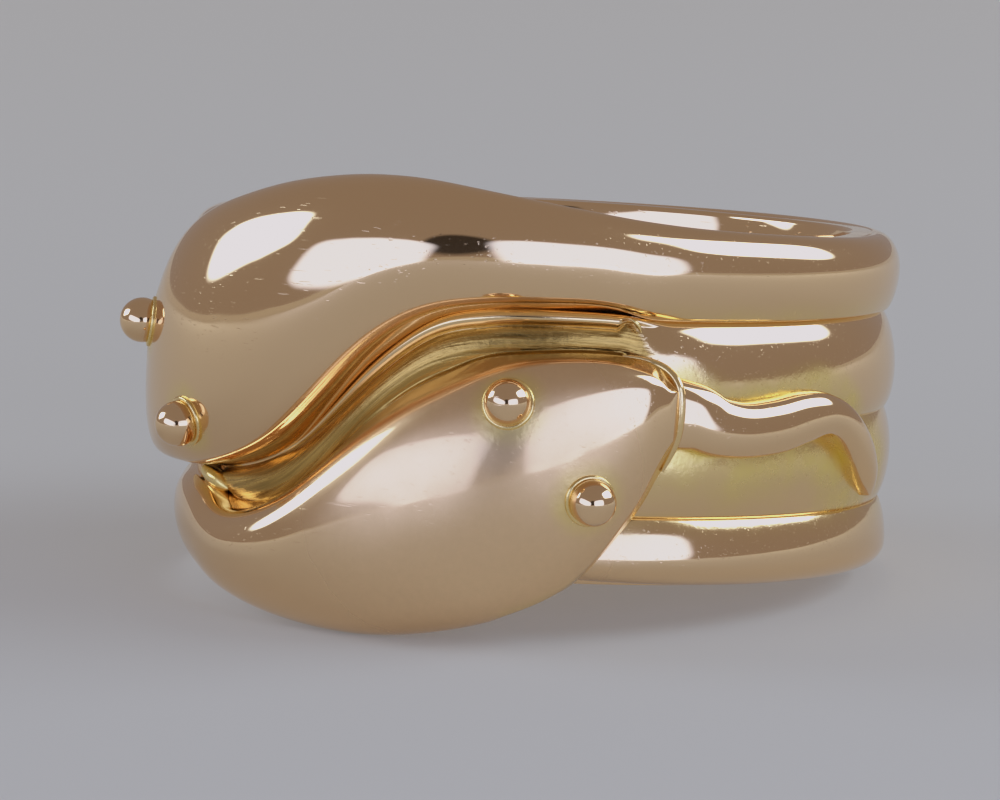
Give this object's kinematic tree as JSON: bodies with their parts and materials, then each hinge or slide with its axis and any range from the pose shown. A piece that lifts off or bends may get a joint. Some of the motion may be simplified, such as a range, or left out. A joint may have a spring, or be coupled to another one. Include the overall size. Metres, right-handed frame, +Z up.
{
  "type": "double snake ring",
  "caption": "Finger ring of polished rose gold: two snakes soldered side by side, with domed heads passing each other at the front, ball eyes and a wavy tail behind each head.",
  "frame": {"origin": "middle of the base of the ring as it lies on its side on the lower head's belly and the back rim", "axes": "+Z up as the ring rests, -Y the front between the two heads, +X to the right of the front"},
  "size_m": [0.0236, 0.0244, 0.0137],
  "materials": {
    "polished_gold": "polished rose gold with fine scratches",
    "satin_gold": "satin yellower gold with tarnish in the creases"
  },
  "bodies": {
    "root": {"shank": "polished_gold", "upper_head": "polished_gold", "lower_head": "polished_gold", "middle_ribbon": "satin_gold", "upper_tail": "polished_gold", "lower_tail": "polished_gold", "upper_eye_front": "polished_gold", "upper_eye_back": "polished_gold", "lower_eye_front": "polished_gold", "lower_eye_back": "polished_gold"}
  },
  "joints": []
}
